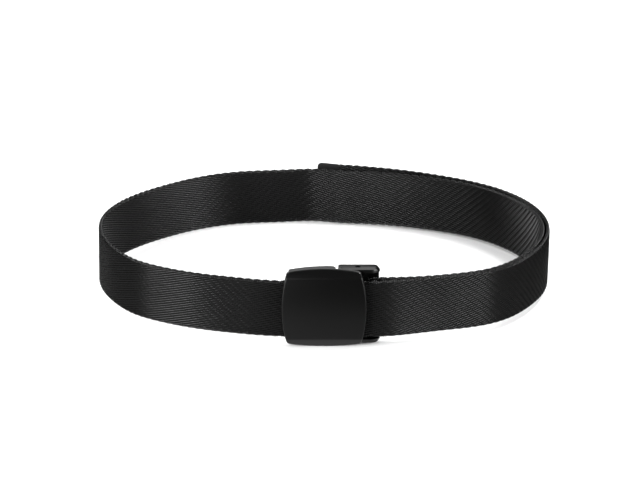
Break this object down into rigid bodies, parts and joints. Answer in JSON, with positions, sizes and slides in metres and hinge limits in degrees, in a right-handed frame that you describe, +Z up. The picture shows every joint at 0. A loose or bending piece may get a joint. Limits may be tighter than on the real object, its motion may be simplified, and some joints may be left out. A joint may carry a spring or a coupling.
{
  "type": "elastic belt with flip buckle",
  "caption": "Elastic webbing belt closed in a loop by a plastic flip-cover buckle, with its free end lying over the outside of the loop to the middle of the back.",
  "frame": {"origin": "on the floor, at the centre of the footprint of the belt's bounding box, the belt standing on the long edge of its webbing", "axes": "+X to the right seen from the buckle's front and along the buckle plate, -Y to the front of the buckle, +Z up across the webbing's width"},
  "size_m": [0.2966, 0.2812, 0.0516],
  "materials": {
    "black_webbing": "woven polyester and elastic webbing, soft satin sheen",
    "black_plastic": "moulded acetal, fine satin",
    "blackened_pin": "blackened steel, satin"
  },
  "bodies": {
    "root": {"webbing_strap": "black_webbing", "buckle_cover": "black_plastic", "buckle_frame": "black_plastic", "hinge_pin": "blackened_pin"}
  },
  "joints": []
}
